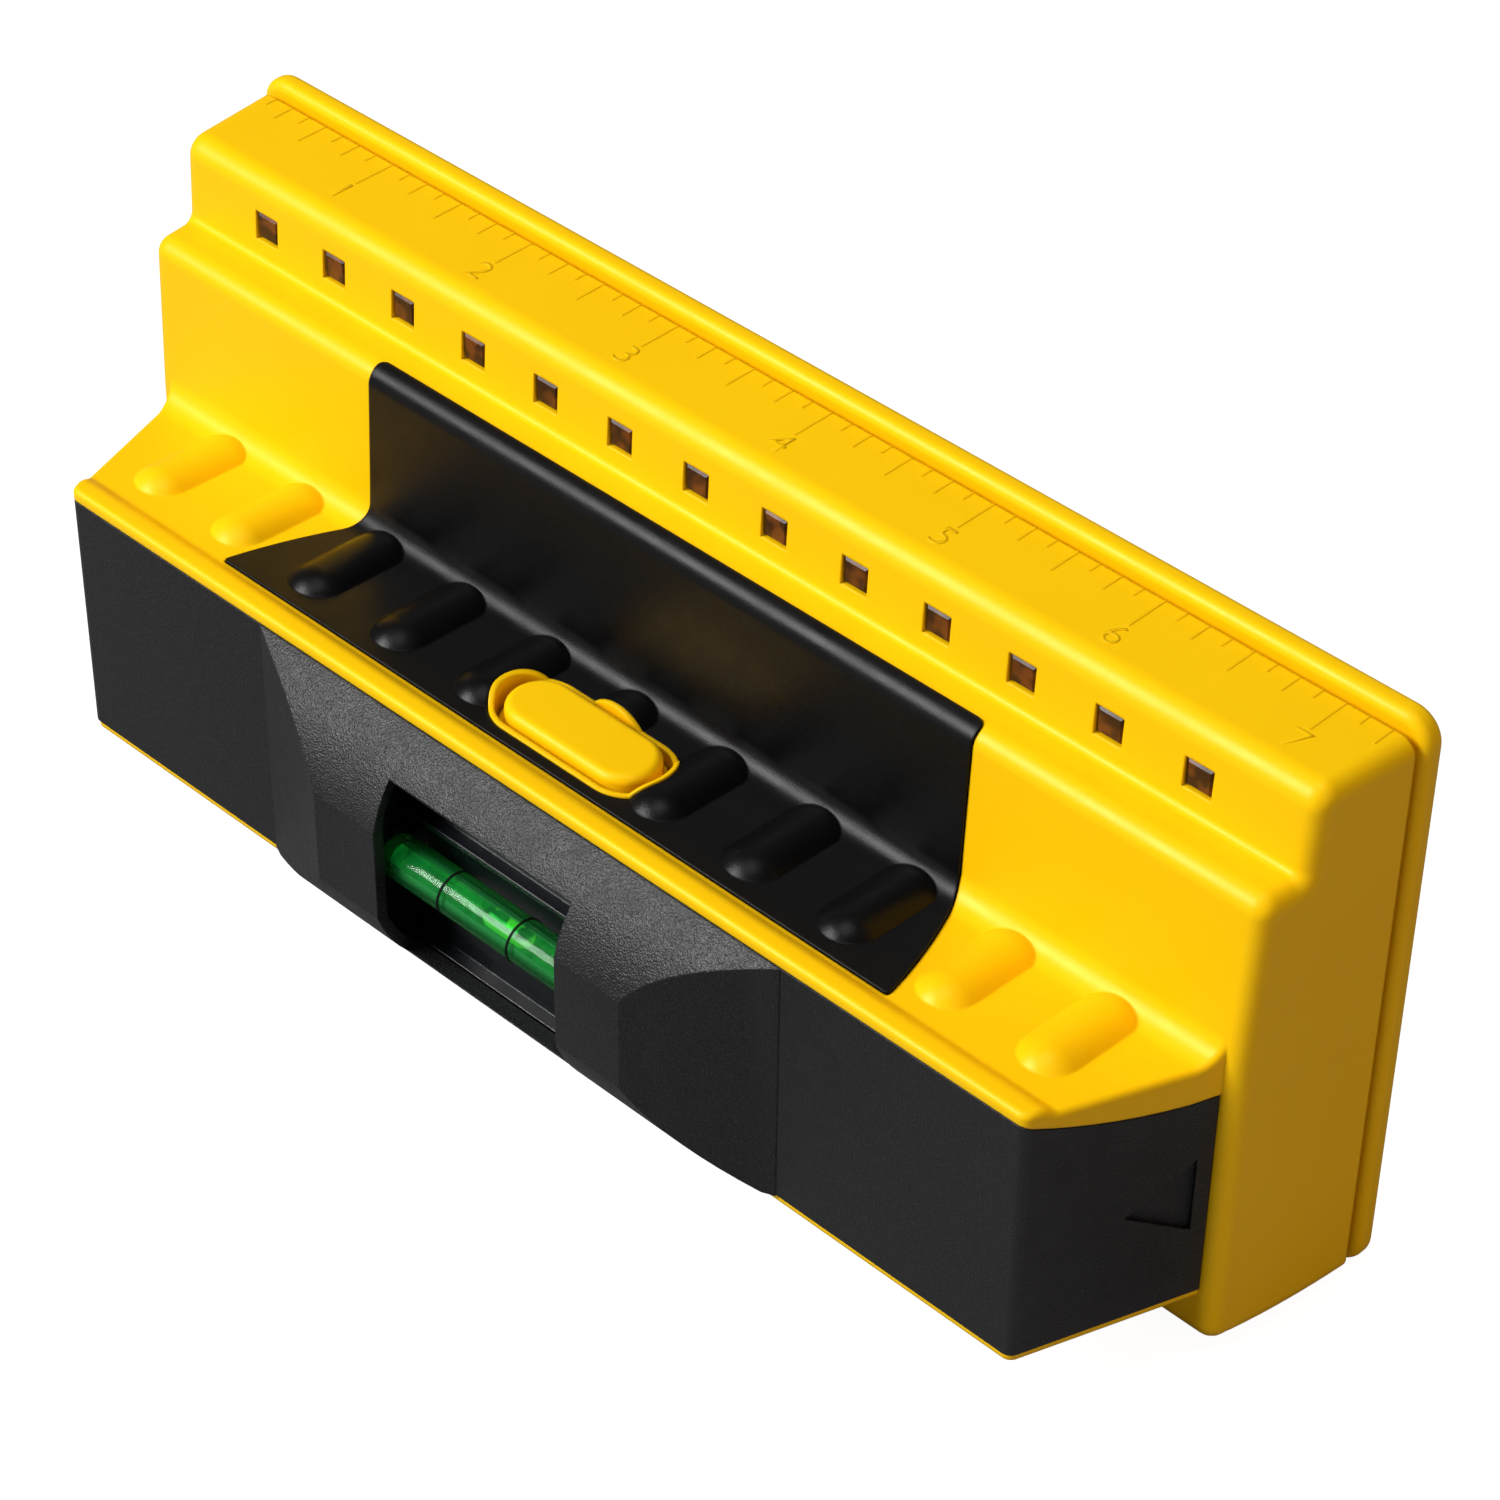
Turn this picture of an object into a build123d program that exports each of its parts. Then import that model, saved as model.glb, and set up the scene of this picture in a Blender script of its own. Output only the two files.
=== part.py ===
from build123d import *
from math import atan, degrees, hypot
import os

# A wall-scanning stud finder, in millimetres.
# X runs along the ruler, to the right for a person facing the wall.
# Y points into the wall, so the front of the tool is at -Y.
# Z is up, and the ruler is on the top edge.
# The origin is the centre of the sensor plate's wall face.

os.makedirs("parts", exist_ok=True)

# ---------------------------------------------------------------- driving dimensions

inch = 25.4
sensor_count = 13
sensor_pitch = inch / 2
far = 200.0

# Sensor plate, which slides on the wall.
plate_length = 189.2
plate_height = 83.0
plate_thickness = 3.3
plate_corner = 4.0
plate_edge = 1.3
shadow_gap = 0.9
rim_wall = 1.6
rim_depth = 3.0
rim_clearance = 0.25

# Deep section of the front housing.
wall = 2.2
housing_back = -(plate_thickness + shadow_gap)
back_half_length = 93.7
end_draft = 0.104
ruler_z = 39.6
ruler_edge = 3.0
window_z = 32.8
window_y = -18.8
window_size = 4.1
led_face_tilt = 0.052
ledge_z = 27.9
ledge_corner = 1.0
step_edge = 2.5
wall_top_y = -25.35
wall_slope = 0.043
wall_blend = 60.0
belly_front_z = -39.0
belly_mid_z = -40.9
belly_back_z = -41.4
end_edge = 2.3

# Finger shelf and the chin under it, which holds the cells.
shelf_z = 4.4
shelf_slope = 0.055
shelf_fillet = 3.5
chin_front_y = -49.8
chin_half_front = 80.6
chin_back_y = -25.4
chin_half_back = 89.4
chin_corner = 1.6
lip_z = 6.4
lip_inner_y = -45.7
lip_edge = 1.4
slab_rim_edge = 0.8
cover_top_z = 4.8
cover_top_back_z = -0.25
cover_bottom_z = -31.2
floor_z = -32.1
inner_floor_z = -29.4
shelf_underside_z = -0.6
cover_wall = 2.0
latch_x = 62.0
latch_z = -28.5
joint_gap = 0.15

# Finger ribs across the shelf.
rib_pitch = 15.0
rib_side_count = 5
rib_radius = 4.9
rib_sink = 3.1
rib_front_y = -39.4
rib_back_y = -30.0

# Grip panel, let into the wall and the shelf.
grip_half_top = 49.8
grip_half_middle = 53.6
grip_half_front = 56.3
grip_top_y = -23.2
grip_bend_y = -26.4
grip_middle_y = -35.5
grip_front_y = -45.2
grip_proud = 0.3
grip_depth = 1.2
grip_top_corner = 1.2
grip_front_corner = 0.5

# Power button, its collar and its switch.
button_y = -37.6
collar_half = 13.7
collar_radius = 5.9
collar_wall = 0.7
collar_proud = 0.5
cap_half = 11.6
cap_radius = 4.5
cap_top_z = 6.9
cap_edge = 1.1
step_half = 12.5
step_radius = 4.8
step_top_z = 3.6
retainer_half = 14.0
retainer_radius = 6.2
retainer_thickness = 1.0
stem_radius = 2.0
button_travel = 1.0
plunger_top_z = -3.2
plunger_radius = 1.7
switch_top_z = -4.6
switch_height = 3.4
switch_size = 6.0
switch_board_thickness = 1.2
switch_post_x = 17.5
switch_lead_z = -5.0

# Vial window in the battery cover.
bulge_half_front = 26.3
bulge_half_base = 44.2
bulge_front_y = -57.7
bulge_wall = 1.6
bulge_top_z = 4.6
bulge_top_mid = (-54.75, -0.4)
bulge_flat_top_z = -7.1
bulge_flat_bottom_z = -20.7
bulge_low_mid = (-54.7, -26.8)
bulge_low_y = -50.6
view_half = 15.6
view_top_z = -1.0
view_bottom_z = -28.5
view_bevel = 0.8
pocket_half = 20.0
pocket_back_y = -48.5
cradle_wall = 1.2
cradle_ridge_z = -9.5
view_bottom_y = -54.4
saddle_start = 16.5
arrow_z = -14.9
arrow_tip = 13.7
arrow_tail = 22.7
arrow_half = 5.6
arrow_depth = 0.6

# Vial.
vial_y = -52.5
vial_z = -14.4
vial_radius = 2.9
vial_bore = 2.3
vial_half = 18.4
ring_spacing = 12.0
ring_width = 0.35
ring_middle_x = -1.1
bubble_half = 3.9
bubble_radius = 1.5
bubble_rise = 0.65
bubble_reach = 15.0
bubble_x = 2.4

# Circuit board.
board_front_y = -7.0
board_thickness = 1.6
board_half = 88.0
board_top_z = 35.2
board_bottom_z = -37.0
case_screw_x = 72.0
case_screw_zs = (-5.0, -25.0)
board_screw_x = 44.0
board_screw_zs = (16.0, -32.0)

# Electronics on the board.
led_size = (3.2, 1.8, 3.4)
lens_size = 3.9
lens_recess = 0.12
lens_bevel = 0.45
lens_bar_front = -16.1
lens_bar_thickness = 1.6
electrode_half = 3.5
electrode_bottom_z = 0.0
electrode_top_z = 28.0
electrode_thickness = 0.1
case_post_radius = 3.5
case_pilot_radius = 1.5
screw_seat = 0.5

# Ruler scale moulded on the top face.
scale_eighths = 58
mark_height = 0.06
mark_width = 0.32
mark_lengths = {8: 6.4, 4: 4.9, 2: 3.4, 1: 2.0}

# Cells.
cell_radius = 7.1
cell_length = 49.5
nub_length = 1.0
cell_y = -37.2
cell_z = -21.9
cell_pack_start = -48.2
bulkhead_in = 54.2
bulkhead_wall = 1.6
bulkhead_top_z = -12.8
hook_thickness = 0.4
hook_half = 5.0
coil_radius = 3.0
coil_pitch = 1.15
coil_wire = 0.35
lead_radius = 0.6
lead_z = -15.5
lead_x = 62.0
switch_lead_x = 10.0
switch_lead_radius = 0.5


def wall_y(z):
    """Y of the front wall's outer face at height z: leaning above the shelf, upright below."""
    return wall_top_y - (ledge_z - max(z, shelf_z)) * wall_slope


def led_y(z):
    """Y of the indicator face at height z."""
    return window_y - (window_z - z) * led_face_tilt


def end_x(y):
    """Half length of the deep section at depth y."""
    return back_half_length + (y - housing_back) * end_draft


def chin_x(y):
    """Half length of the chin at depth y."""
    share = (y - chin_front_y) / (chin_back_y - chin_front_y)
    return chin_half_front + share * (chin_half_back - chin_half_front)


def shelf_at(y):
    """Height of the finger shelf at depth y."""
    return shelf_z + (wall_y(shelf_z) - y) * shelf_slope


def save(node, name):
    """Label one finished piece and write its STEP file."""
    node.part.label = name
    export_step(node.part, f"parts/{name}.step")
    print(name, len(node.part.solids()), round(node.part.volume, 1), node.part.is_valid)


def nearest(vertices, point):
    """The sketch vertex closest to a point of the profile."""
    return vertices.sort_by_distance(point)[0]


def is_slab_rim(edge):
    """True for the slab's upper outline, from wall to wall around the front."""
    middle = edge.center()
    at_end = abs(middle.X) > chin_x(middle.Y) - 1.0
    at_front = abs(middle.Y - chin_front_y) < 0.01
    level = abs(edge.tangent_at(0.5).Z) < 0.9
    return middle.Z > shelf_z - 0.1 and level and (at_end or at_front)


def is_view_top(edge):
    """True for the upper edges of the vial window."""
    middle = edge.center()
    return abs(middle.Z - view_top_z) < 0.01 and abs(middle.X) < 0.01


# ---------------------------------------------------------------- shared profiles and envelopes

def deep_profile(inset=0.0, rounding=True):
    """Side profile of the deep section, drawn in Y and Z, moved inwards by inset."""
    front_top = (led_y(ruler_z) + inset, ruler_z - inset)
    led_bottom = (led_y(ledge_z) + inset, ledge_z - inset)
    step_top = (wall_top_y + inset, ledge_z - inset)
    wall_foot = (wall_y(shelf_z) + inset, shelf_z)
    belly_front = (wall_y(belly_front_z) + inset, belly_front_z + inset)
    belly_back = (housing_back, belly_back_z + inset)
    with BuildSketch(Plane.YZ, mode=Mode.PRIVATE) as profile:
        with BuildLine():
            Polyline(
                belly_back,
                (housing_back, ruler_z - inset),
                front_top,
                led_bottom,
                step_top,
                wall_foot,
                belly_front,
            )
            ThreePointArc(
                belly_front,
                ((housing_back + wall_top_y) / 2, belly_mid_z + inset),
                belly_back,
            )
        make_face()
        if rounding:
            fillet(nearest(profile.vertices(), front_top), ruler_edge)
            fillet(nearest(profile.vertices(), led_bottom), ledge_corner)
            fillet(nearest(profile.vertices(), step_top), step_edge)
            fillet(nearest(profile.vertices(), wall_foot), wall_blend)
            fillet(nearest(profile.vertices(), belly_front), step_edge)
    return profile.sketch


def end_plan(inset=0.0):
    """Plan of the deep section, with its drafted ends."""
    with BuildSketch(Plane.XY.offset(-far), mode=Mode.PRIVATE) as plan:
        Polygon(
            (-end_x(-far) + inset, -far),
            (end_x(-far) - inset, -far),
            (end_x(0) - inset, 0),
            (-end_x(0) + inset, 0),
            align=None,
        )
    return plan.sketch


def chin_plan(level, inset=0.0, back=chin_back_y):
    """Plan of the chin at one height: straight front, slanted ends, rounded corners."""
    front = chin_front_y + inset
    with BuildSketch(Plane.XY.offset(level), mode=Mode.PRIVATE) as plan:
        Polygon(
            (-chin_x(front) + inset, front),
            (chin_x(front) - inset, front),
            (chin_x(back) - inset, back),
            (-chin_x(back) + inset, back),
            align=None,
        )
        fillet(plan.vertices().group_by(Axis.Y)[0], max(chin_corner - inset / 2, 0.5))
    return plan.sketch


def grip_plan(gap=0.0):
    """Plan of the grip panel: square at the wall, spreading over the shelf in bowed lines."""
    half_top = grip_half_top + gap
    half_middle = grip_half_middle + gap
    half_front = grip_half_front + gap
    top_y = grip_top_y + gap
    front_y = grip_front_y - gap
    with BuildSketch(Plane.XY, mode=Mode.PRIVATE) as plan:
        with BuildLine():
            Line((-half_top, top_y), (half_top, top_y))
            Line((-half_front, front_y), (half_front, front_y))
            for side in (-1, 1):
                bend = (side * half_top, grip_bend_y)
                bow = (side * half_middle, grip_middle_y)
                Line((side * half_top, top_y), bend)
                ThreePointArc(bend, bow, (side * half_front, front_y))
        make_face()
        fillet(plan.vertices().group_by(Axis.Y)[0], grip_front_corner)
        fillet(plan.vertices().group_by(Axis.Y)[-1], grip_top_corner)
    return plan.sketch


def skin_profile(offset):
    """Region behind the ledge, wall and shelf surface, moved outwards by offset."""
    ledge_end = (wall_top_y - offset, ledge_z + offset)
    wall_foot = (wall_y(shelf_z) - offset, shelf_z + offset)
    shelf_front = (-60.0, shelf_at(-60.0) + offset)
    with BuildSketch(Plane.YZ, mode=Mode.PRIVATE) as profile:
        Polygon(
            (-10.0, ledge_z + offset),
            ledge_end,
            wall_foot,
            shelf_front,
            (-60.0, -20.0),
            (-10.0, -20.0),
            align=None,
        )
        fillet(nearest(profile.vertices(), ledge_end), step_edge + offset)
        fillet(nearest(profile.vertices(), wall_foot), shelf_fillet - offset)
    return profile.sketch


def stadium(half_length, radius, level):
    """Round-ended slot outline at the button's place and the given height."""
    with BuildSketch(Plane.XY.offset(level), mode=Mode.PRIVATE) as outline:
        with Locations((0, button_y)):
            SlotOverall(2 * half_length, 2 * radius)
    return outline.sketch


def well_outline():
    """Outline of the button's well, inside its collar."""
    return stadium(collar_half - collar_wall, collar_radius - collar_wall, shelf_underside_z - 0.5)


def seam_profile(drop=0.0):
    """Region below the seam between the shelf and the battery cover."""
    with BuildSketch(Plane.YZ, mode=Mode.PRIVATE) as profile:
        with BuildLine():
            ThreePointArc(
                (chin_front_y, cover_top_z - drop),
                (-42.5, 2.15 - drop),
                (-30.0, cover_top_back_z - drop),
            )
            Polyline(
                (-30.0, cover_top_back_z - drop),
                (-20.0, cover_top_back_z - drop),
                (-20.0, -60.0),
                (-70.0, -60.0),
                (-70.0, cover_top_z - drop),
                (chin_front_y, cover_top_z - drop),
            )
        make_face()
    return profile.sketch


def bulge_profile(inset=0.0):
    """Side profile of the vial housing on the battery cover."""
    back = chin_front_y + cover_wall - inset
    slant = 0.7 * inset
    flat_top = (bulge_front_y + inset, bulge_flat_top_z)
    flat_bottom = (bulge_front_y + inset, bulge_flat_bottom_z)
    with BuildSketch(Plane.YZ, mode=Mode.PRIVATE) as profile:
        with BuildLine():
            ThreePointArc(
                (chin_front_y - 0.1 + slant, bulge_top_z - 1.6 * inset),
                (bulge_top_mid[0] + slant, bulge_top_mid[1] - slant),
                flat_top,
            )
            Line(flat_top, flat_bottom)
            ThreePointArc(
                flat_bottom,
                (bulge_low_mid[0] + slant, bulge_low_mid[1] + slant),
                (bulge_low_y + slant, cover_bottom_z + inset),
            )
            Polyline(
                (bulge_low_y + slant, cover_bottom_z + inset),
                (back + 2 * inset, cover_bottom_z + inset),
                (back + 2 * inset, bulge_top_z - 1.6 * inset),
                (chin_front_y - 0.1 + slant, bulge_top_z - 1.6 * inset),
            )
        make_face()
    return profile.sketch


def rib_axis_point(x, y):
    """Point on a rib's axis, sunk below the sloping shelf."""
    return (x, y, shelf_at(y) - rib_sink)


def rib_tool(radius):
    """Ball-ended bars that make the row of finger ribs; the middle one starts under the button."""
    tilt = degrees(atan(shelf_slope))
    with BuildPart(mode=Mode.PRIVATE) as tool:
        for step in range(-rib_side_count, rib_side_count + 1):
            x = step * rib_pitch
            front_y = rib_front_y if step else button_y
            with Locations(rib_axis_point(x, front_y), rib_axis_point(x, rib_back_y)):
                Sphere(radius)
            with Locations(Location(rib_axis_point(x, front_y), (-90 - tilt, 0, 0))):
                Cylinder(
                    radius,
                    hypot(1.0, shelf_slope) * (rib_back_y - front_y),
                    align=(Align.CENTER, Align.CENTER, Align.MIN),
                )
        split(bisect_by=Plane.XY, keep=Keep.TOP)
    return tool.part


def ribbed_skin(offset):
    """Solid behind the wall and the ribbed shelf surface, moved outwards by offset."""
    with BuildPart(mode=Mode.PRIVATE) as skin:
        extrude(skin_profile(offset), amount=far / 2, both=True)
        add(rib_tool(rib_radius + offset))
    return skin.part


def screw(head_radius, head_height, shank_radius, shank_length):
    """Cross-head screw, head up, with its seat at the origin."""
    blade = (1.3 * head_radius, 0.28 * head_radius, head_height)
    with BuildPart(mode=Mode.PRIVATE) as fastener:
        Cylinder(head_radius, head_height, align=(Align.CENTER, Align.CENTER, Align.MIN))
        fillet(fastener.edges().group_by(Axis.Z)[-1], 0.4 * head_height)
        Cylinder(shank_radius, shank_length, align=(Align.CENTER, Align.CENTER, Align.MAX))
        chamfer(fastener.edges().group_by(Axis.Z)[0], 0.4 * shank_radius)
        with Locations((0, 0, head_height)):
            Box(*blade, mode=Mode.SUBTRACT)
            Box(*blade, rotation=(0, 0, 90), mode=Mode.SUBTRACT)
    return fastener.part


def wire(points, bend, radius):
    """Insulated lead along straight runs joined by arcs."""
    with BuildPart(mode=Mode.PRIVATE) as run:
        with BuildLine() as path:
            FilletPolyline(*points, radius=bend)
        with BuildSketch(Plane(origin=path.line @ 0, z_dir=path.line % 0)):
            Circle(radius)
        sweep()
    return run.part


def rod(start, radius, length):
    """Round bar along X from its start point."""
    with BuildPart(mode=Mode.PRIVATE) as bar:
        with Locations(start):
            Cylinder(
                radius,
                length,
                rotation=(0, 90, 0),
                align=(Align.CENTER, Align.CENTER, Align.MIN),
            )
    return bar.part


def contact_hook(side):
    """Flat cell contact that folds over its bulkhead, for the end at side -1 or 1."""
    face_x = bulkhead_in - hook_thickness
    outer_x = bulkhead_in + bulkhead_wall + 0.1
    fold_z = bulkhead_top_z + 0.1
    with BuildPart(mode=Mode.PRIVATE) as hook:
        with BuildSketch(Plane.XZ.offset(-cell_y + hook_half)):
            Polygon(
                (side * face_x, cell_z - 6.0),
                (side * face_x, fold_z + hook_thickness),
                (side * (outer_x + hook_thickness), fold_z + hook_thickness),
                (side * (outer_x + hook_thickness), fold_z - 4.5),
                (side * outer_x, fold_z - 4.5),
                (side * outer_x, fold_z),
                (side * bulkhead_in, fold_z),
                (side * bulkhead_in, cell_z - 6.0),
                align=None,
            )
        extrude(amount=-2 * hook_half)
    return hook.part


# ---------------------------------------------------------------- front housing

with BuildPart() as deep_section:
    extrude(deep_profile(), amount=far / 2, both=True)
    extrude(end_plan(), amount=2 * far, mode=Mode.INTERSECT)
    for end in (deep_section.faces().sort_by(Axis.X)[0], deep_section.faces().sort_by(Axis.X)[-1]):
        rounded = end.edges().filter_by(lambda edge: edge.center().Y < housing_back - 0.1)
        fillet(rounded, end_edge)

with BuildPart() as deep_cavity:
    extrude(deep_profile(inset=wall, rounding=False), amount=far / 2, both=True)
    extrude(end_plan(inset=wall), amount=2 * far, mode=Mode.INTERSECT)

with BuildPart() as shelf_slab:
    with BuildSketch(Plane.YZ) as shelf_profile:
        foot = (wall_y(shelf_z), shelf_z)
        dip = (lip_inner_y, shelf_at(lip_inner_y))
        bead_back = (lip_inner_y - 1.6, lip_z)
        Polygon(
            (wall_y(14.0) + wall / 2, 14.0),
            (wall_y(14.0), 14.0),
            foot,
            dip,
            bead_back,
            (chin_front_y, lip_z),
            (chin_front_y, shelf_underside_z),
            (wall_y(14.0) + wall / 2, shelf_underside_z),
            align=None,
        )
        fillet(nearest(shelf_profile.vertices(), foot), shelf_fillet)
        fillet(nearest(shelf_profile.vertices(), dip), lip_edge)
        fillet(nearest(shelf_profile.vertices(), bead_back), 1.6 * lip_edge)
    extrude(amount=far / 2, both=True)
    extrude(chin_plan(-far, back=wall_y(0) + wall / 2), amount=2 * far, mode=Mode.INTERSECT)
    rim = shelf_slab.edges().filter_by(is_slab_rim)
    fillet(rim, slab_rim_edge)

# The cover takes the outer band of the slab below the seam.
with BuildPart() as seam_band:
    extrude(chin_plan(-far, inset=-5.0), amount=2 * far)
    core = chin_plan(-far, inset=cover_wall + joint_gap, back=-10.0)
    extrude(core, amount=2 * far, mode=Mode.SUBTRACT)
    extrude(seam_profile(), amount=far, both=True, mode=Mode.INTERSECT)

# A thin sill shows below the cover and a thicker core stays inside it.
with BuildPart() as chin_floor:
    floor_back = wall_y(floor_z) + wall / 2
    extrude(chin_plan(floor_z, inset=0.3, back=floor_back), amount=cover_bottom_z - floor_z)
    core = chin_plan(cover_bottom_z, inset=cover_wall + joint_gap, back=floor_back)
    extrude(core, amount=inner_floor_z - cover_bottom_z)

# End walls that carry the cell contacts, and low saddles under the cells.
with BuildPart() as bay_walls:
    bay_back = wall_y(cell_z) + 0.3
    for side in (-1, 1):
        with Locations((side * (bulkhead_in + bulkhead_wall / 2), bay_back, inner_floor_z - 0.2)):
            Box(
                bulkhead_wall,
                bay_back - cell_y + 9.5,
                bulkhead_top_z - inner_floor_z + 0.2,
                align=(Align.CENTER, Align.MAX, Align.MIN),
            )
    with Locations((0, cell_y, inner_floor_z - 0.2)):
        with GridLocations(20.0, 1, 5, 1):
            Box(1.6, 12.0, 3.4, align=(Align.CENTER, Align.CENTER, Align.MIN))
    with Locations((0, cell_y, cell_z)):
        Cylinder(cell_radius + 0.35, 2 * bulkhead_in - 0.4, rotation=(0, 90, 0), mode=Mode.SUBTRACT)

with BuildPart() as board_posts:
    for z in board_screw_zs:
        with BuildSketch(Plane.XZ.offset(-board_front_y)):
            with Locations((-board_screw_x, z), (board_screw_x, z)):
                Circle(3.0)
                Circle(0.95, mode=Mode.SUBTRACT)
        extrude(amount=board_front_y - wall_y(z) - wall + 0.5)

with BuildPart() as switch_posts:
    with BuildSketch(Plane.XY.offset(switch_top_z - switch_height)):
        with Locations((-switch_post_x, button_y), (switch_post_x, button_y)):
            Circle(2.1)
            Circle(0.8, mode=Mode.SUBTRACT)
    extrude(amount=shelf_underside_z - switch_top_z + switch_height + 0.3)

# The button's collar stands a little proud of the panel and follows its ribs.
with BuildPart() as collar:
    extrude(stadium(collar_half, collar_radius, shelf_underside_z), amount=10.0)
    extrude(well_outline(), amount=12.0, mode=Mode.SUBTRACT)
    add(ribbed_skin(collar_proud), mode=Mode.INTERSECT)

with BuildPart() as grip_recess:
    extrude(grip_plan(joint_gap), amount=ledge_z + 10)
    add(ribbed_skin(-grip_depth), mode=Mode.SUBTRACT)

# Raised marks every eighth of an inch, from the left end of the top face.
with BuildPart() as scale_marks:
    eighth = inch / 8
    for step in range(1, scale_eighths + 1):
        size = max(unit for unit in mark_lengths if step % unit == 0)
        with Locations((step * eighth - back_half_length, housing_back, ruler_z)):
            Box(
                mark_width,
                mark_lengths[size],
                2 * mark_height,
                align=(Align.CENTER, Align.MAX, Align.CENTER),
            )

with BuildPart() as front_housing:
    add(shelf_slab.part)
    add(seam_band.part, mode=Mode.SUBTRACT)
    add(deep_section.part)
    add(chin_floor.part)
    add(deep_cavity.part, mode=Mode.SUBTRACT)
    add(board_posts.part)
    add(rib_tool(rib_radius))
    add(grip_recess.part, mode=Mode.SUBTRACT)
    add(collar.part)
    add(bay_walls.part)
    add(switch_posts.part)
    add(scale_marks.part)
    # Well for the button.
    extrude(well_outline(), amount=12.0, mode=Mode.SUBTRACT)
    # Windows of the indicator row.
    with BuildSketch(Plane.XZ.offset(-window_y - 3)):
        with Locations((0, window_z)):
            with GridLocations(sensor_pitch, 1, sensor_count, 1):
                Rectangle(window_size, window_size)
    extrude(amount=6.0, mode=Mode.SUBTRACT)
    # Case screws pass through the wall behind the battery cover.
    for z in case_screw_zs:
        seat_y = wall_y(z) + screw_seat
        with BuildSketch(Plane.XZ.offset(-seat_y)):
            with Locations((-case_screw_x, z), (case_screw_x, z)):
                Circle(3.3)
        extrude(amount=3.0, mode=Mode.SUBTRACT)
        with BuildSketch(Plane.XZ.offset(-seat_y - 3)):
            with Locations((-case_screw_x, z), (case_screw_x, z)):
                Circle(1.7)
        extrude(amount=6.0, mode=Mode.SUBTRACT)
    # Holes for the battery leads and the switch leads.
    with BuildSketch(Plane.XZ.offset(-wall_top_y - 6)):
        with Locations((-lead_x, lead_z), (lead_x, lead_z)):
            Circle(lead_radius + 0.5)
        with Locations((-switch_lead_x, switch_lead_z), (switch_lead_x, switch_lead_z)):
            Circle(switch_lead_radius + 0.5)
    extrude(amount=12.0, mode=Mode.SUBTRACT)
save(front_housing, "front_housing")

# ---------------------------------------------------------------- sensor plate

with BuildPart() as sensor_plate:
    with BuildSketch(Plane.XZ):
        RectangleRounded(plate_length, plate_height, plate_corner)
    extrude(amount=plate_thickness)
    outline = sensor_plate.faces().filter_by(Axis.Y).edges()
    fillet(outline, plate_edge)
    # Rim that centres the plate inside the housing.
    rim_half = end_x(housing_back - rim_depth) - wall - rim_clearance
    rim_top = ruler_z - wall - rim_clearance
    rim_bottom = belly_back_z + wall + rim_clearance + 0.2
    rim_height = rim_top - rim_bottom
    with BuildSketch(Plane.XZ.offset(plate_thickness)):
        with Locations((0, (rim_top + rim_bottom) / 2)):
            Rectangle(2 * rim_half, rim_height)
            Rectangle(2 * (rim_half - rim_wall), rim_height - 2 * rim_wall, mode=Mode.SUBTRACT)
    extrude(amount=rim_depth)
    # Long posts that take the case screws.
    for z in case_screw_zs:
        post_end = wall_y(z) + wall + 0.4
        with BuildSketch(Plane.XZ.offset(plate_thickness)):
            with Locations((-case_screw_x, z), (case_screw_x, z)):
                Circle(case_post_radius)
        extrude(amount=-plate_thickness - post_end)
        with BuildSketch(Plane.XZ.offset(-post_end)):
            with Locations((-case_screw_x, z), (case_screw_x, z)):
                Circle(case_pilot_radius)
        extrude(amount=-14.0, mode=Mode.SUBTRACT)
save(sensor_plate, "sensor_plate")

# ---------------------------------------------------------------- grip panel

with BuildPart() as grip_panel:
    extrude(grip_plan(), amount=ledge_z + 10)
    add(ribbed_skin(grip_proud), mode=Mode.INTERSECT)
    add(ribbed_skin(joint_gap - grip_depth), mode=Mode.SUBTRACT)
    collar_hole = stadium(collar_half + joint_gap, collar_radius + joint_gap, 0.0)
    extrude(collar_hole, amount=12.0, mode=Mode.SUBTRACT)
save(grip_panel, "grip_panel")

# ---------------------------------------------------------------- power button and switch

with BuildPart() as power_button:
    extrude(stadium(cap_half, cap_radius, 0.0), amount=cap_top_z)
    fillet(power_button.edges().group_by(Axis.Z)[-1], cap_edge)
    step_bottom_z = shelf_underside_z - 0.2
    extrude(stadium(step_half, step_radius, step_bottom_z), amount=step_top_z - step_bottom_z)
    retainer_top_z = shelf_underside_z - 0.05
    extrude(stadium(retainer_half, retainer_radius, retainer_top_z), amount=-retainer_thickness)
    with Locations((0, button_y, shelf_underside_z - 0.5)):
        Cylinder(
            stem_radius,
            shelf_underside_z - 0.5 - plunger_top_z,
            align=(Align.CENTER, Align.CENTER, Align.MAX),
        )
save(power_button, "power_button")

with BuildPart() as switch_plunger:
    with Locations((0, button_y, plunger_top_z - 0.02)):
        Cylinder(plunger_radius, 2.9, align=(Align.CENTER, Align.CENTER, Align.MAX))
    fillet(switch_plunger.edges().group_by(Axis.Z)[-1], 0.3)
save(switch_plunger, "switch_plunger")

with BuildPart() as switch_housing:
    with Locations((0, button_y, switch_top_z)):
        Box(switch_size, switch_size, switch_height, align=(Align.CENTER, Align.CENTER, Align.MAX))
    chamfer(switch_housing.edges().group_by(Axis.Z)[-1], 0.3)
    with Locations((0, button_y, switch_top_z)):
        Cylinder(plunger_radius + 0.08, 5.4, mode=Mode.SUBTRACT)
save(switch_housing, "switch_housing")

board_low_z = switch_top_z - switch_height - switch_board_thickness

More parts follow.
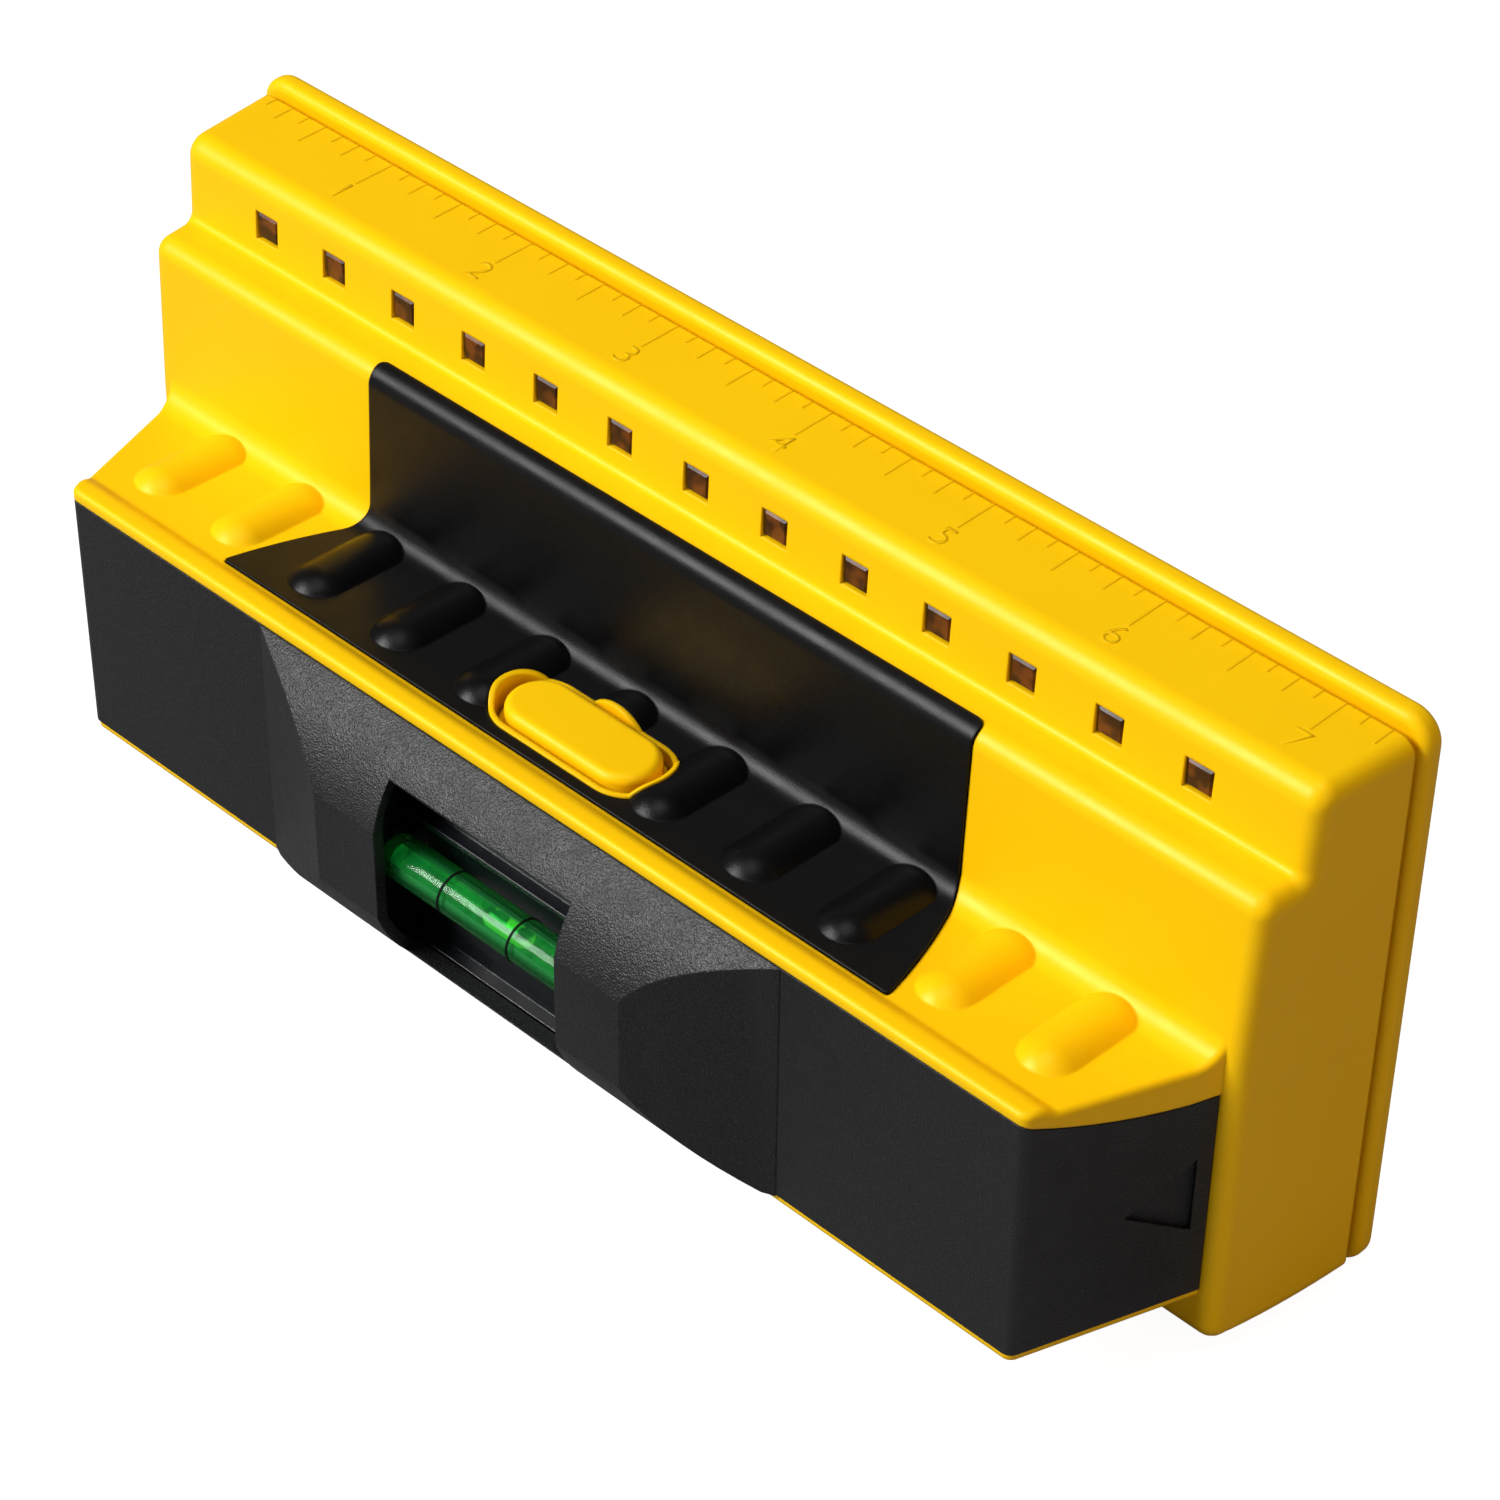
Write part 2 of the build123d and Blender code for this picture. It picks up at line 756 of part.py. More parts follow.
with BuildPart() as switch_board:
    with Locations((0, button_y, board_low_z)):
        Box(
            2 * switch_post_x + 6.0,
            9.0,
            switch_board_thickness,
            align=(Align.CENTER, Align.CENTER, Align.MIN),
        )
    fillet(switch_board.edges().filter_by(Axis.Z), 1.0)
    with Locations((-switch_post_x, button_y, board_low_z), (switch_post_x, button_y, board_low_z)):
        Cylinder(0.95, 6.0, mode=Mode.SUBTRACT)
save(switch_board, "switch_board")

with BuildPart() as switch_screws:
    for x in (-switch_post_x, switch_post_x):
        with Locations(Location((x, button_y, board_low_z), (180, 0, 0))):
            add(screw(1.6, 1.1, 0.75, 5.0))
save(switch_screws, "switch_screws")

with BuildPart() as switch_leads:
    for x in (-switch_lead_x, switch_lead_x):
        path_points = (
            (x, button_y + 3.4, switch_top_z - switch_height),
            (x, button_y + 3.4, switch_lead_z),
            (x, board_front_y, switch_lead_z),
        )
        add(wire(path_points, 1.4, switch_lead_radius))
save(switch_leads, "switch_leads")

# ---------------------------------------------------------------- circuit board and sensing parts

with BuildPart() as circuit_board:
    with BuildSketch(Plane.XZ.offset(-board_front_y)):
        with Locations((0, (board_top_z + board_bottom_z) / 2)):
            RectangleRounded(2 * board_half, board_top_z - board_bottom_z, 1.5)
        for z in case_screw_zs:
            with Locations((-case_screw_x, z), (case_screw_x, z)):
                Circle(case_post_radius + 0.5, mode=Mode.SUBTRACT)
        for z in board_screw_zs:
            with Locations((-board_screw_x, z), (board_screw_x, z)):
                Circle(1.2, mode=Mode.SUBTRACT)
    extrude(amount=-board_thickness)
save(circuit_board, "circuit_board")

with BuildPart() as indicator_leds:
    with Locations((0, board_front_y, window_z)):
        with GridLocations(sensor_pitch, 1, sensor_count, 1):
            Box(*led_size, align=(Align.CENTER, Align.MAX, Align.CENTER))
save(indicator_leds, "indicator_leds")

with BuildPart() as lens_strip:
    with Locations((0, lens_bar_front, window_z)):
        bar_length = sensor_pitch * (sensor_count - 1) + 8.0
        Box(bar_length, lens_bar_thickness, 5.6, align=(Align.CENTER, Align.MIN, Align.CENTER))
    guide_end = board_front_y - led_size[1] - 0.4
    lens_front = window_y + lens_recess
    with Locations((0, lens_front, window_z)):
        with GridLocations(sensor_pitch, 1, sensor_count, 1):
            Box(
                lens_size,
                lens_bar_front - lens_front,
                lens_size,
                align=(Align.CENTER, Align.MIN, Align.CENTER),
            )
    chamfer(lens_strip.edges().group_by(Axis.Y)[0], lens_bevel)
    with Locations((0, lens_bar_front, window_z)):
        with GridLocations(sensor_pitch, 1, sensor_count, 1):
            Box(
                3.0,
                guide_end - lens_bar_front,
                3.0,
                align=(Align.CENTER, Align.MIN, Align.CENTER),
            )
save(lens_strip, "lens_strip")

with BuildPart() as sensor_electrodes:
    electrode_mid_z = (electrode_bottom_z + electrode_top_z) / 2
    with Locations((0, board_front_y + board_thickness, electrode_mid_z)):
        with GridLocations(sensor_pitch, 1, sensor_count, 1):
            Box(
                2 * electrode_half,
                electrode_thickness,
                electrode_top_z - electrode_bottom_z,
                align=(Align.CENTER, Align.MIN, Align.CENTER),
            )
save(sensor_electrodes, "sensor_electrodes")

with BuildPart() as microcontroller:
    with Locations((0, board_front_y, 8.0)):
        Box(10.0, 1.4, 10.0, align=(Align.CENTER, Align.MAX, Align.CENTER))
    chamfer(microcontroller.edges().group_by(Axis.Y)[0], 0.3)
save(microcontroller, "microcontroller")

with BuildPart() as signal_chips:
    with Locations((0, board_front_y, 8.0)):
        for x in (-60.0, -30.0, 30.0, 60.0):
            with Locations((x, 0, 0)):
                Box(5.0, 1.5, 6.2, align=(Align.CENTER, Align.MAX, Align.CENTER))
save(signal_chips, "signal_chips")

with BuildPart() as capacitors:
    with Locations((-24.0, board_front_y, -24.0), (24.0, board_front_y, -24.0)):
        Cylinder(3.15, 7.7, rotation=(90, 0, 0), align=(Align.CENTER, Align.CENTER, Align.MIN))
    fillet(capacitors.edges().group_by(Axis.Y)[0], 0.5)
save(capacitors, "capacitors")

# ---------------------------------------------------------------- screws

with BuildPart() as board_screws:
    for z in board_screw_zs:
        for x in (-board_screw_x, board_screw_x):
            with Locations(Location((x, board_front_y + board_thickness, z), (-90, 0, 0))):
                add(screw(2.1, 1.3, 0.9, 8.0))
save(board_screws, "board_screws")

with BuildPart() as case_screws:
    for z in case_screw_zs:
        for x in (-case_screw_x, case_screw_x):
            with Locations(Location((x, wall_y(z) + screw_seat, z), (90, 0, 0))):
                add(screw(2.9, 2.2, 1.45, 13.0))
save(case_screws, "case_screws")

# ---------------------------------------------------------------- cells, contacts and leads

def cell(start):
    """Cell can with its nub, from the flat end at x = start."""
    with BuildPart(mode=Mode.PRIVATE) as can:
        add(rod((start, cell_y, cell_z), cell_radius, cell_length))
        chamfer(can.edges(), 0.5)
        add(rod((start + cell_length - 0.1, cell_y, cell_z), 2.6, nub_length + 0.1))
    return can.part


def sleeve(start):
    """Printed jacket around one cell."""
    with BuildPart(mode=Mode.PRIVATE) as jacket:
        with Locations((start + cell_length / 2, cell_y, cell_z)):
            Cylinder(cell_radius + 0.15, cell_length - 2.6, rotation=(0, 90, 0))
            Cylinder(cell_radius + 0.03, cell_length, rotation=(0, 90, 0), mode=Mode.SUBTRACT)
    return jacket.part


second_start = cell_pack_start + cell_length + nub_length

with BuildPart() as battery_cell_left:
    add(cell(cell_pack_start))
save(battery_cell_left, "battery_cell_left")

with BuildPart() as battery_cell_right:
    add(cell(second_start))
save(battery_cell_right, "battery_cell_right")

with BuildPart() as battery_sleeve_left:
    add(sleeve(cell_pack_start))
save(battery_sleeve_left, "battery_sleeve_left")

with BuildPart() as battery_sleeve_right:
    add(sleeve(second_start))
save(battery_sleeve_right, "battery_sleeve_right")

with BuildPart() as contact_plate:
    add(contact_hook(1))
    nub_end = second_start + cell_length + nub_length
    add(rod((nub_end, cell_y, cell_z), 1.6, bulkhead_in - nub_end))
save(contact_plate, "contact_plate")

with BuildPart() as contact_spring:
    add(contact_hook(-1))
    coil_start = -bulkhead_in + hook_thickness + 0.6 * coil_wire
    coil_length = cell_pack_start - coil_start - 1.1 * coil_wire
    with BuildLine():
        coil = Helix(coil_pitch, coil_length, coil_radius, (coil_start, cell_y, cell_z), (1, 0, 0))
    with BuildSketch(Plane(origin=coil @ 0, z_dir=coil % 0)):
        Circle(coil_wire)
    sweep(is_frenet=True)
save(contact_spring, "contact_spring")


def lead_points(side):
    """Route of a battery lead, from its contact round to the circuit board."""
    start_x = bulkhead_in + bulkhead_wall + 0.1 + hook_thickness
    return (
        (side * start_x, cell_y, lead_z),
        (side * lead_x, cell_y, lead_z),
        (side * lead_x, board_front_y, lead_z),
    )


with BuildPart() as lead_red:
    add(wire(lead_points(1), 3.0, lead_radius))
save(lead_red, "lead_red")

with BuildPart() as lead_black:
    add(wire(lead_points(-1), 3.0, lead_radius))
save(lead_black, "lead_black")

# ---------------------------------------------------------------- battery cover

with BuildPart() as bulge:
    extrude(bulge_profile(), amount=far / 2, both=True)
    with BuildSketch(Plane.XY.offset(-far)):
        Polygon(
            (-bulge_half_base, chin_front_y - 0.1),
            (-bulge_half_front, bulge_front_y),
            (bulge_half_front, bulge_front_y),
            (bulge_half_base, chin_front_y - 0.1),
            (bulge_half_base, -40.0),
            (-bulge_half_base, -40.0),
            align=None,
        )
    extrude(amount=2 * far, mode=Mode.INTERSECT)

with BuildPart() as vial_hollow:
    hollow_half = pocket_half + cradle_wall + joint_gap
    extrude(bulge_profile(inset=bulge_wall), amount=hollow_half, both=True)

with BuildPart() as arrow_cutter:
    along = (chin_half_back - chin_half_front, chin_back_y - chin_front_y, 0)
    outward = (along[1], -along[0], 0)
    front_corner = (chin_half_front, chin_front_y, arrow_z)
    with BuildSketch(Plane(origin=front_corner, x_dir=along, z_dir=outward)):
        Polygon((arrow_tip, 0), (arrow_tail, arrow_half), (arrow_tail, -arrow_half), align=None)
    extrude(amount=arrow_depth, both=True)
    mirror(about=Plane.YZ)

with BuildPart() as battery_cover:
    extrude(chin_plan(cover_bottom_z + joint_gap), amount=cover_top_z - cover_bottom_z + 2)
    extrude(chin_plan(-far, inset=cover_wall, back=-10.0), amount=2 * far, mode=Mode.SUBTRACT)
    add(bulge.part)
    extrude(seam_profile(joint_gap), amount=far, both=True, mode=Mode.INTERSECT)
    # The ends stop just short of the deep section.
    with BuildSketch(Plane.YZ):
        Polygon(
            (-70.0, -60.0),
            (wall_y(-60.0) - joint_gap, -60.0),
            (wall_y(shelf_z) - joint_gap, shelf_z),
            (wall_y(20.0) - joint_gap, 20.0),
            (-70.0, 20.0),
            align=None,
        )
    extrude(amount=far, both=True, mode=Mode.INTERSECT)
    add(vial_hollow.part, mode=Mode.SUBTRACT)
    with BuildSketch(Plane.XZ.offset(-chin_front_y)):
        with Locations((0, (view_top_z + view_bottom_z) / 2)):
            Rectangle(2 * view_half, view_top_z - view_bottom_z)
    extrude(amount=12.0, mode=Mode.SUBTRACT)
    chamfer(battery_cover.edges().filter_by(is_view_top).sort_by(Axis.Y)[0], view_bevel)
    add(arrow_cutter.part, mode=Mode.SUBTRACT)
    # Latch tabs rest on the chin's floor.
    for x in (-latch_x, latch_x):
        with Locations((x, chin_front_y + cover_wall, latch_z)):
            Box(8.0, 3.0, 1.4, align=(Align.CENTER, Align.MIN, Align.CENTER))
save(battery_cover, "battery_cover")

# ---------------------------------------------------------------- vial and its cradle

with BuildPart() as vial_cradle:
    cradle_back = pocket_back_y + cradle_wall
    cradle_top_z = shelf_underside_z - 0.4
    cradle_bottom_z = inner_floor_z + 0.2
    with BuildSketch(Plane.YZ):
        Polygon(
            (cradle_back, cradle_top_z),
            (pocket_back_y, cradle_top_z),
            (pocket_back_y, cradle_ridge_z + 0.6),
            (pocket_back_y - 1.7, cradle_ridge_z + 0.4),
            (pocket_back_y - 1.7, cradle_ridge_z - 0.4),
            (pocket_back_y, cradle_ridge_z - 0.6),
            (pocket_back_y, cradle_bottom_z + 0.3),
            (view_bottom_y, cradle_bottom_z + 1.3),
            (view_bottom_y, cradle_bottom_z),
            (cradle_back, cradle_bottom_z),
            align=None,
        )
    extrude(amount=pocket_half + cradle_wall, both=True)
    for side in (-1, 1):
        with Locations((side * (pocket_half + cradle_wall / 2), cradle_back, cradle_bottom_z)):
            Box(
                cradle_wall,
                9.0,
                cradle_top_z - cradle_bottom_z,
                align=(Align.CENTER, Align.MAX, Align.MIN),
            )
        with Locations((side * (saddle_start + pocket_half) / 2, pocket_back_y + 0.2, vial_z)):
            Box(
                pocket_half - saddle_start,
                3.6,
                5.0,
                align=(Align.CENTER, Align.MAX, Align.CENTER),
            )
    extrude(bulge_profile(inset=bulge_wall + joint_gap), amount=far, both=True, mode=Mode.INTERSECT)
    with Locations((0, vial_y, vial_z)):
        Cylinder(vial_radius + 0.05, 2 * vial_half + 0.4, rotation=(0, 90, 0), mode=Mode.SUBTRACT)
save(vial_cradle, "vial_cradle")

with BuildPart() as vial_tube:
    add(rod((-vial_half, vial_y, vial_z), vial_radius, 2 * vial_half - 0.3))
    fillet(vial_tube.edges().group_by(Axis.X)[0], 1.5)
    fillet(vial_tube.edges().group_by(Axis.X)[-1], 0.5)
    add(rod((-vial_half + 1.6, vial_y, vial_z), vial_bore, 2 * vial_half), mode=Mode.SUBTRACT)
save(vial_tube, "vial_tube")

liquid_start = -vial_half + 1.65
plug_start = vial_half - 1.7

with BuildPart() as vial_plug:
    add(rod((plug_start, vial_y, vial_z), vial_bore - 0.03, vial_half - plug_start))
    fillet(vial_plug.edges().group_by(Axis.X)[-1], 0.6)
save(vial_plug, "vial_plug")

with BuildPart() as vial_liquid:
    liquid_length = plug_start - 0.05 - liquid_start
    add(rod((liquid_start, vial_y, vial_z), vial_bore - 0.05, liquid_length))
    # Path of the bubble along the top of the vial.
    with Locations((0, vial_y, vial_z + bubble_rise)):
        Cylinder(bubble_radius + 0.15, 2 * bubble_reach, rotation=(0, 90, 0), mode=Mode.SUBTRACT)
        Box(
            2 * bubble_reach,
            2 * bubble_radius + 0.3,
            4.0,
            align=(Align.CENTER, Align.CENTER, Align.MIN),
            mode=Mode.SUBTRACT,
        )
save(vial_liquid, "vial_liquid")

with BuildPart() as vial_bubble:
    bubble_z = vial_z + bubble_rise
    bubble_straight = bubble_half - bubble_radius
    with Locations((bubble_x, vial_y, bubble_z)):
        Cylinder(bubble_radius, 2 * bubble_straight, rotation=(0, 90, 0))
    for x in (bubble_x - bubble_straight, bubble_x + bubble_straight):
        with Locations((x, vial_y, bubble_z)):
            Sphere(bubble_radius)
save(vial_bubble, "vial_bubble")

with BuildPart() as vial_rings:
    with Locations((ring_middle_x, vial_y, vial_z)):
        with GridLocations(ring_spacing, 1, 2, 1):
            Cylinder(vial_radius + 0.10, ring_width, rotation=(0, 90, 0))
            Cylinder(vial_radius + 0.02, 2 * ring_width, rotation=(0, 90, 0), mode=Mode.SUBTRACT)
save(vial_rings, "vial_rings")
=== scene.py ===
import math

import bmesh
import bpy
from mathutils import Matrix, Vector


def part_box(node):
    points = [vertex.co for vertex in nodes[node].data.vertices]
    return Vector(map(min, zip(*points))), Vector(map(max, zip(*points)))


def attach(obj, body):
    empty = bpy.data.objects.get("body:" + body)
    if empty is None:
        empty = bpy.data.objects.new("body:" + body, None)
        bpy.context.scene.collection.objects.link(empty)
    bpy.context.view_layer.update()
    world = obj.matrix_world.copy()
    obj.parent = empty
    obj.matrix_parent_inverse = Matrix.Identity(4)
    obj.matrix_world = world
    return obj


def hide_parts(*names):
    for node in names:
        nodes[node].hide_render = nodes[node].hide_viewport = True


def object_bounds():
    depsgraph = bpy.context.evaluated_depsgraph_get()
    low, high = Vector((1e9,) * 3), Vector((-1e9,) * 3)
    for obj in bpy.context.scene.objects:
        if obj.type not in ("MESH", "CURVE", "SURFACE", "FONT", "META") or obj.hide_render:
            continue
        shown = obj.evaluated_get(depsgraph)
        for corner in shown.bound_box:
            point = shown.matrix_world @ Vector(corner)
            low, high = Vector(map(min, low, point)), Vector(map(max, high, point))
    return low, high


# ---------------------------------------------------------------- frame

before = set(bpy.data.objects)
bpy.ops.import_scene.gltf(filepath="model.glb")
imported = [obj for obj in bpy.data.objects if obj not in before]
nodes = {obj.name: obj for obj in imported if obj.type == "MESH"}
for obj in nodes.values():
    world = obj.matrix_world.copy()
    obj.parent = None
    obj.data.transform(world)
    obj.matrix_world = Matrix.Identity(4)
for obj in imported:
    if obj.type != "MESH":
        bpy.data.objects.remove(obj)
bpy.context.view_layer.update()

# Camera, in the frame of the part: position in metres and angles in degrees.
CAMERA_POSITION = (0.29398, -0.31601, 0.33745)
CAMERA_AZIMUTH = 43.76
CAMERA_ELEVATION = 39.53
CAMERA_ROLL = 0.81
CAMERA_LENS = 106.07

# Colours, linear.
YELLOW = (0.900, 0.545, 0.0015, 1.0)
YELLOW_DEEP = (0.860, 0.480, 0.0010, 1.0)
BLACK = (0.0022, 0.0023, 0.0027, 1.0)
BLACK_DUST = (0.0045, 0.0047, 0.0052, 1.0)
# Lighter grain specks of the cover, partly painted glints that stand in for sparkle.
BLACK_GRAIN_AND_PAINTED_GLINT = (0.0170, 0.0175, 0.0200, 1.0)
POCKET_BLACK = (0.0040, 0.0052, 0.0075, 1.0)
GREEN_DYE = (0.004, 0.270, 0.055, 1.0)
# Lighter streak green of the liquid, also the colour of its painted glow.
GREEN_STREAK_AND_PAINTED_GLOW = (0.060, 0.560, 0.100, 1.0)
# Bubble colours are painted light: a painted shade for its top, a painted highlight for its lower part and
# glint spots.
BUBBLE_PAINTED_SHADE = (0.004, 0.030, 0.008, 1.0)
BUBBLE_PAINTED_HIGHLIGHT = (0.50, 0.62, 0.08, 1.0)
LENS_BROWN = (0.045, 0.013, 0.004, 1.0)
LENS_AMBER = (0.19, 0.052, 0.007, 1.0)
MASK_DARK = (0.008, 0.10, 0.035, 1.0)
MASK_LIGHT = (0.012, 0.14, 0.05, 1.0)
WARM_LIGHT = (1.0, 0.74, 0.66)

# Pointiness at which an edge starts to look rubbed, and at which it is fully so.
WEAR_START = 0.56
WEAR_FULL = 0.68

# Range that most of a noise texture's values fall in, and how far roughness drifts with it.
NOISE_LOW = 0.3
NOISE_HIGH = 0.7
ROUGHNESS_DRIFT = 0.05
BEVEL_SAMPLES = 6

# Ruler scale: the digits stand in front of the inch marks.
INCH = 0.0254
SCALE_START_X = -0.0937
DIGIT_Y = -0.0131
DIGIT_HEIGHT = 0.0037
RULER_Z = 0.0396
DIGIT_RELIEF = 0.00005
DIGIT_SHARE = 0.7  # height of a digit as a share of the font size

# Mesh and stage.
LIQUID_STEPS = 48
MERGE_DISTANCE = 0.000005
FLOOR_SIZE = 12.0
FLOOR_GAP = 0.0002


# ---------------------------------------------------------------- material helpers

def new_material(name):
    """An empty node material with its shader and output joined."""
    material = bpy.data.materials.new(name)
    material.use_nodes = True
    tree = material.node_tree
    tree.nodes.clear()
    shader = tree.nodes.new("ShaderNodeBsdfPrincipled")
    output = tree.nodes.new("ShaderNodeOutputMaterial")
    tree.links.new(shader.outputs["BSDF"], output.inputs["Surface"])
    return material, tree, shader


def add_node(tree, kind, **inputs):
    """A node with its input values set by name."""
    node = tree.nodes.new(kind)
    for key, value in inputs.items():
        node.inputs[key.replace("_", " ")].default_value = value
    return node


def object_position(tree):
    """Position in the part's frame, which doesn't slide when the camera moves."""
    return tree.nodes.new("ShaderNodeTexCoord").outputs["Object"]


def noise(tree, scale, detail=3.0, roughness=0.5):
    """Noise texture in object space; scale is cycles per metre."""
    texture = add_node(tree, "ShaderNodeTexNoise", Scale=scale, Detail=detail, Roughness=roughness)
    tree.links.new(object_position(tree), texture.inputs["Vector"])
    return texture.outputs["Fac"]


def remap(tree, value, low, high, to_low, to_high):
    """Value mapped from one range to another, clamped."""
    node = tree.nodes.new("ShaderNodeMapRange")
    node.inputs["From Min"].default_value = low
    node.inputs["From Max"].default_value = high
    node.inputs["To Min"].default_value = to_low
    node.inputs["To Max"].default_value = to_high
    tree.links.new(value, node.inputs["Value"])
    return node.outputs["Result"]


def mix_colour(tree, factor, first, second):
    """Colour mixed between two constants by a factor output."""
    node = tree.nodes.new("ShaderNodeMix")
    node.data_type = "RGBA"
    node.inputs["A"].default_value = first
    node.inputs["B"].default_value = second
    tree.links.new(factor, node.inputs["Factor"])
    return node.outputs["Result"]


def bump(tree, shader, height, strength, distance, bevel=0.0):
    """Bump from a height output, over softened edges if bevel is given."""
    node = add_node(tree, "ShaderNodeBump", Strength=strength, Distance=distance)
    tree.links.new(height, node.inputs["Height"])
    if bevel:
        rounded = tree.nodes.new("ShaderNodeBevel")
        rounded.samples = BEVEL_SAMPLES
        rounded.inputs["Radius"].default_value = bevel
        tree.links.new(rounded.outputs["Normal"], node.inputs["Normal"])
    tree.links.new(node.outputs["Normal"], shader.inputs["Normal"])


def edge_wear(tree):
    """Factor that rises on convex edges."""
    geometry = tree.nodes.new("ShaderNodeNewGeometry")
    return remap(tree, geometry.outputs["Pointiness"], WEAR_START, WEAR_FULL, 0.0, 1.0)


def vary_roughness(tree, shader, scale, low, high):
    """Roughness that drifts between two values."""
    tree.links.new(
        remap(tree, noise(tree, scale), NOISE_LOW, NOISE_HIGH, low, high),
        shader.inputs["Roughness"],
    )


def see_through(tree, shader, tint, opacity):
    """Surface mixed from clear, with a tint, and the shader, by an opacity output."""
    clear = add_node(tree, "ShaderNodeBsdfTransparent", Color=tint)
    mix = tree.nodes.new("ShaderNodeMixShader")
    tree.links.new(opacity, mix.inputs[0])
    tree.links.new(clear.outputs[0], mix.inputs[1])
    tree.links.new(shader.outputs[0], mix.inputs[2])
    tree.links.new(mix.outputs[0], tree.nodes["Material Output"].inputs["Surface"])


def stretched(tree, scale):
    """Object position stretched by a scale for each axis, for streaks."""
    mapping = add_node(tree, "ShaderNodeMapping", Scale=scale)
    tree.links.new(object_position(tree), mapping.inputs["Vector"])
    return mapping.outputs["Vector"]


def larger(tree, first, second):
    """The larger of two factor outputs."""
    node = tree.nodes.new("ShaderNodeMath")
    node.operation = "MAXIMUM"
    tree.links.new(first, node.inputs[0])
    tree.links.new(second, node.inputs[1])
    return node.outputs[0]


def moulded_plastic(name, colour, worn, roughness, grain, relief, bevel=0.0, specular=0.5):
    """Moulded plastic: slight tone drift, fine grain and rubbed edges."""
    material, tree, shader = new_material(name)
    drift = remap(tree, noise(tree, 35.0), NOISE_LOW, NOISE_HIGH, 0.0, 0.35)
    blend = mix_colour(tree, larger(tree, drift, edge_wear(tree)), colour, worn)
    tree.links.new(blend, shader.inputs["Base Color"])
    vary_roughness(tree, shader, 220.0, roughness - ROUGHNESS_DRIFT, roughness + ROUGHNESS_DRIFT)
    shader.inputs["Specular IOR Level"].default_value = specular
    bump(tree, shader, noise(tree, grain, 2.0, 0.6), 1.0, relief, bevel)
    return material


# ---------------------------------------------------------------- materials

def make_yellow():
    """Satin yellow ABS of the housing."""
    material = moulded_plastic(
        "yellow_abs", YELLOW, YELLOW_DEEP, 0.36, 3200.0, 0.000004, bevel=0.0005, specular=0.3
    )
    shader = material.node_tree.nodes["Principled BSDF"]
    shader.inputs["Specular Tint"].default_value = (1.0, 0.84, 0.45, 1.0)
    shader.inputs["Subsurface Weight"].default_value = 0.05
    shader.inputs["Subsurface Radius"].default_value = (0.002, 0.001, 0.0002)
    return material


def make_black():
    """Smooth satin black plastic of the grip."""
    return moulded_plastic(
        "black_satin", BLACK, BLACK_DUST, 0.34, 4000.0, 0.000020, bevel=0.0004, specular=0.18
    )


def make_black_grain():
    """Spark-eroded black plastic of the battery cover, its lighter grain specks partly painted glints
    standing in for sparkle.
    """
    material, tree, shader = new_material("black_grain")
    grain = noise(tree, 4000.0, 1.0, 0.5)
    # Lighter specks where the grain rises: the grain's own tone, and painted glints standing in for the
    # sparkle of its facets.
    grain_specks_and_glints = remap(tree, grain, 0.52, 0.74, 0.0, 1.0)
    tree.links.new(
        mix_colour(tree, larger(tree, grain_specks_and_glints, edge_wear(tree)), BLACK, BLACK_GRAIN_AND_PAINTED_GLINT),
        shader.inputs["Base Color"],
    )
    vary_roughness(tree, shader, 260.0, 0.40, 0.50)
    shader.inputs["Specular IOR Level"].default_value = 0.50
    bump(tree, shader, grain, 1.0, 0.00014, 0.0003)
    return material


def make_gloss_black():
    """Smooth black plastic of the vial pocket."""
    return moulded_plastic(
        "black_gloss", POCKET_BLACK, BLACK_DUST, 0.30, 900.0, 0.000006, bevel=0.0003, specular=0.6
    )


def make_clear(name, colour, roughness, ior, transmission):
    """Tinted see-through plastic."""
    material, tree, shader = new_material(name)
    deeper = tuple(0.8 * channel for channel in colour[:3]) + (1.0,)
    tree.links.new(
        mix_colour(tree, remap(tree, noise(tree, 900.0), 0.35, 0.65, 0.0, 1.0), colour, deeper),
        shader.inputs["Base Color"],
    )
    vary_roughness(tree, shader, 500.0, roughness, roughness + 0.06)
    shader.inputs["IOR"].default_value = ior
    shader.inputs["Transmission Weight"].default_value = transmission
    return material


def make_shell(name, tint, reflection):
    """Thin clear wall: see-through straight on, shiny at grazing angles."""
    material, tree, shader = new_material(name)
    layer = add_node(tree, "ShaderNodeLayerWeight", Blend=0.25)
    see_through(tree, shader, tint, remap(tree, layer.outputs["Fresnel"], 0.0, 1.0, reflection, 0.9))
    shader.inputs["Base Color"].default_value = (0.02, 0.22, 0.06, 1.0)
    vary_roughness(tree, shader, 700.0, 0.10, 0.16)
    shader.inputs["Specular IOR Level"].default_value = 1.0
    return material


def make_spirit():
    """Dyed vial liquid: mostly clear, with streaks along the vial, and a painted glow as if lit from
    within.
    """
    material, tree, shader = new_material("vial_spirit")
    opacity = remap(tree, noise(tree, 450.0, 2.0, 0.5), 0.35, 0.65, 0.12, 0.32)
    see_through(tree, shader, (0.30, 0.95, 0.40, 1.0), opacity)
    streaks = tree.nodes.new("ShaderNodeTexNoise")
    streaks.inputs["Scale"].default_value = 1.0
    streaks.inputs["Detail"].default_value = 4.0
    tree.links.new(stretched(tree, (40.0, 1500.0, 1500.0)), streaks.inputs["Vector"])
    colour = mix_colour(
        tree, remap(tree, streaks.outputs["Fac"], 0.45, 0.72, 0.0, 1.0), GREEN_DYE, GREEN_STREAK_AND_PAINTED_GLOW
    )
    tree.links.new(colour, shader.inputs["Base Color"])
    # Painted glow: the liquid emits its streaked green, though it is no lamp.
    tree.links.new(colour, shader.inputs["Emission Color"])
    shader.inputs["Emission Strength"].default_value = 0.60
    vary_roughness(tree, shader, 600.0, 0.06, 0.16)
    shader.inputs["Specular IOR Level"].default_value = 0.7
    return material


